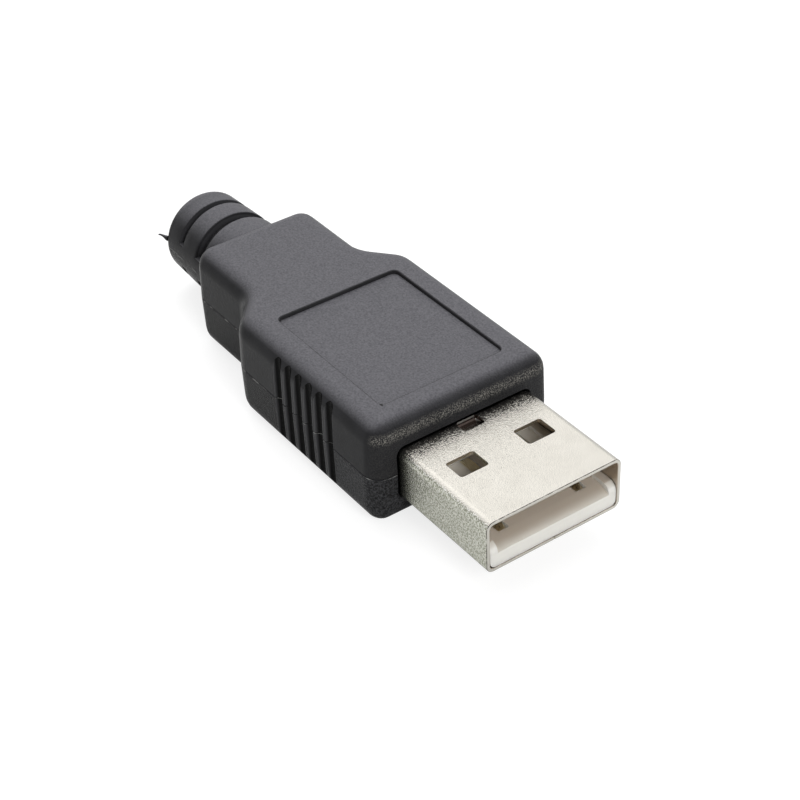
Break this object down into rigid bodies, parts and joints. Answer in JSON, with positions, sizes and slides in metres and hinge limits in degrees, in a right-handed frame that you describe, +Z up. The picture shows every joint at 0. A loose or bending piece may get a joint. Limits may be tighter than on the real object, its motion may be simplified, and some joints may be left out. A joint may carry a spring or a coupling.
{
  "type": "usb-a cable plug",
  "caption": "USB-A cable plug for self assembly: folded steel plug shell on a white insulator with brass contacts, in a black two-piece snap cover with a slotted round tail.",
  "frame": {"origin": "on the resting face of the lower cover, under the middle of the overall length and of the width", "axes": "+X out of the plug's mouth, +Y to the left when looking out of the mouth, +Z up from the resting face to the recessed top"},
  "size_m": [0.0478, 0.0162, 0.0089],
  "materials": {
    "cover_plastic": "fine moulded texture, satin",
    "plated_steel": "satin nickel plating",
    "white_plastic": "smooth, slightly glossy",
    "contact_brass": "bright stamped strip"
  },
  "bodies": {
    "root": {"upper_cover": "cover_plastic", "lower_cover": "cover_plastic", "plug_shell": "plated_steel", "insulator": "white_plastic", "contact_vbus": "contact_brass", "contact_data_minus": "contact_brass", "contact_data_plus": "contact_brass", "contact_ground": "contact_brass"}
  },
  "joints": []
}
